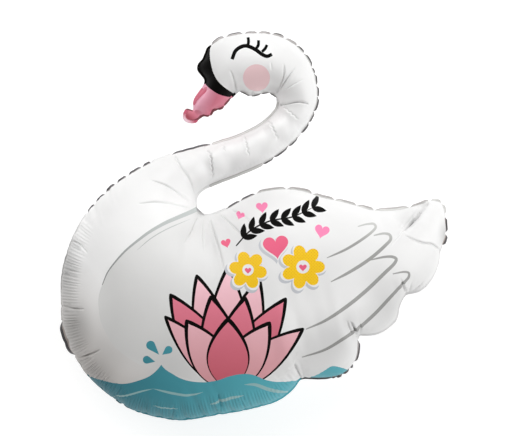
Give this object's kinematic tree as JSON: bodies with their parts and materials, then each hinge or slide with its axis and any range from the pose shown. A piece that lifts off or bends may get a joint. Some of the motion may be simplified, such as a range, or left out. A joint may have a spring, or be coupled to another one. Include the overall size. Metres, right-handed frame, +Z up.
{
  "type": "bird foil balloon",
  "caption": "Inflated foil balloon in the shape of a swan, with a curved neck, lobed wing and narrow welded hem, lying printed face up.",
  "frame": {"origin": "on the surface that the balloon lies on, under the middle of its outline", "axes": "+X from the breast to the tail, +Y from the belly to the crown, +Z up, out of the printed face"},
  "size_m": [0.7928, 0.8, 0.3145],
  "materials": {
    "pearl_film": "satin pearl-white metallised film, printed on its front"
  },
  "bodies": {
    "root": {"balloon_envelope": "pearl_film"}
  },
  "joints": []
}
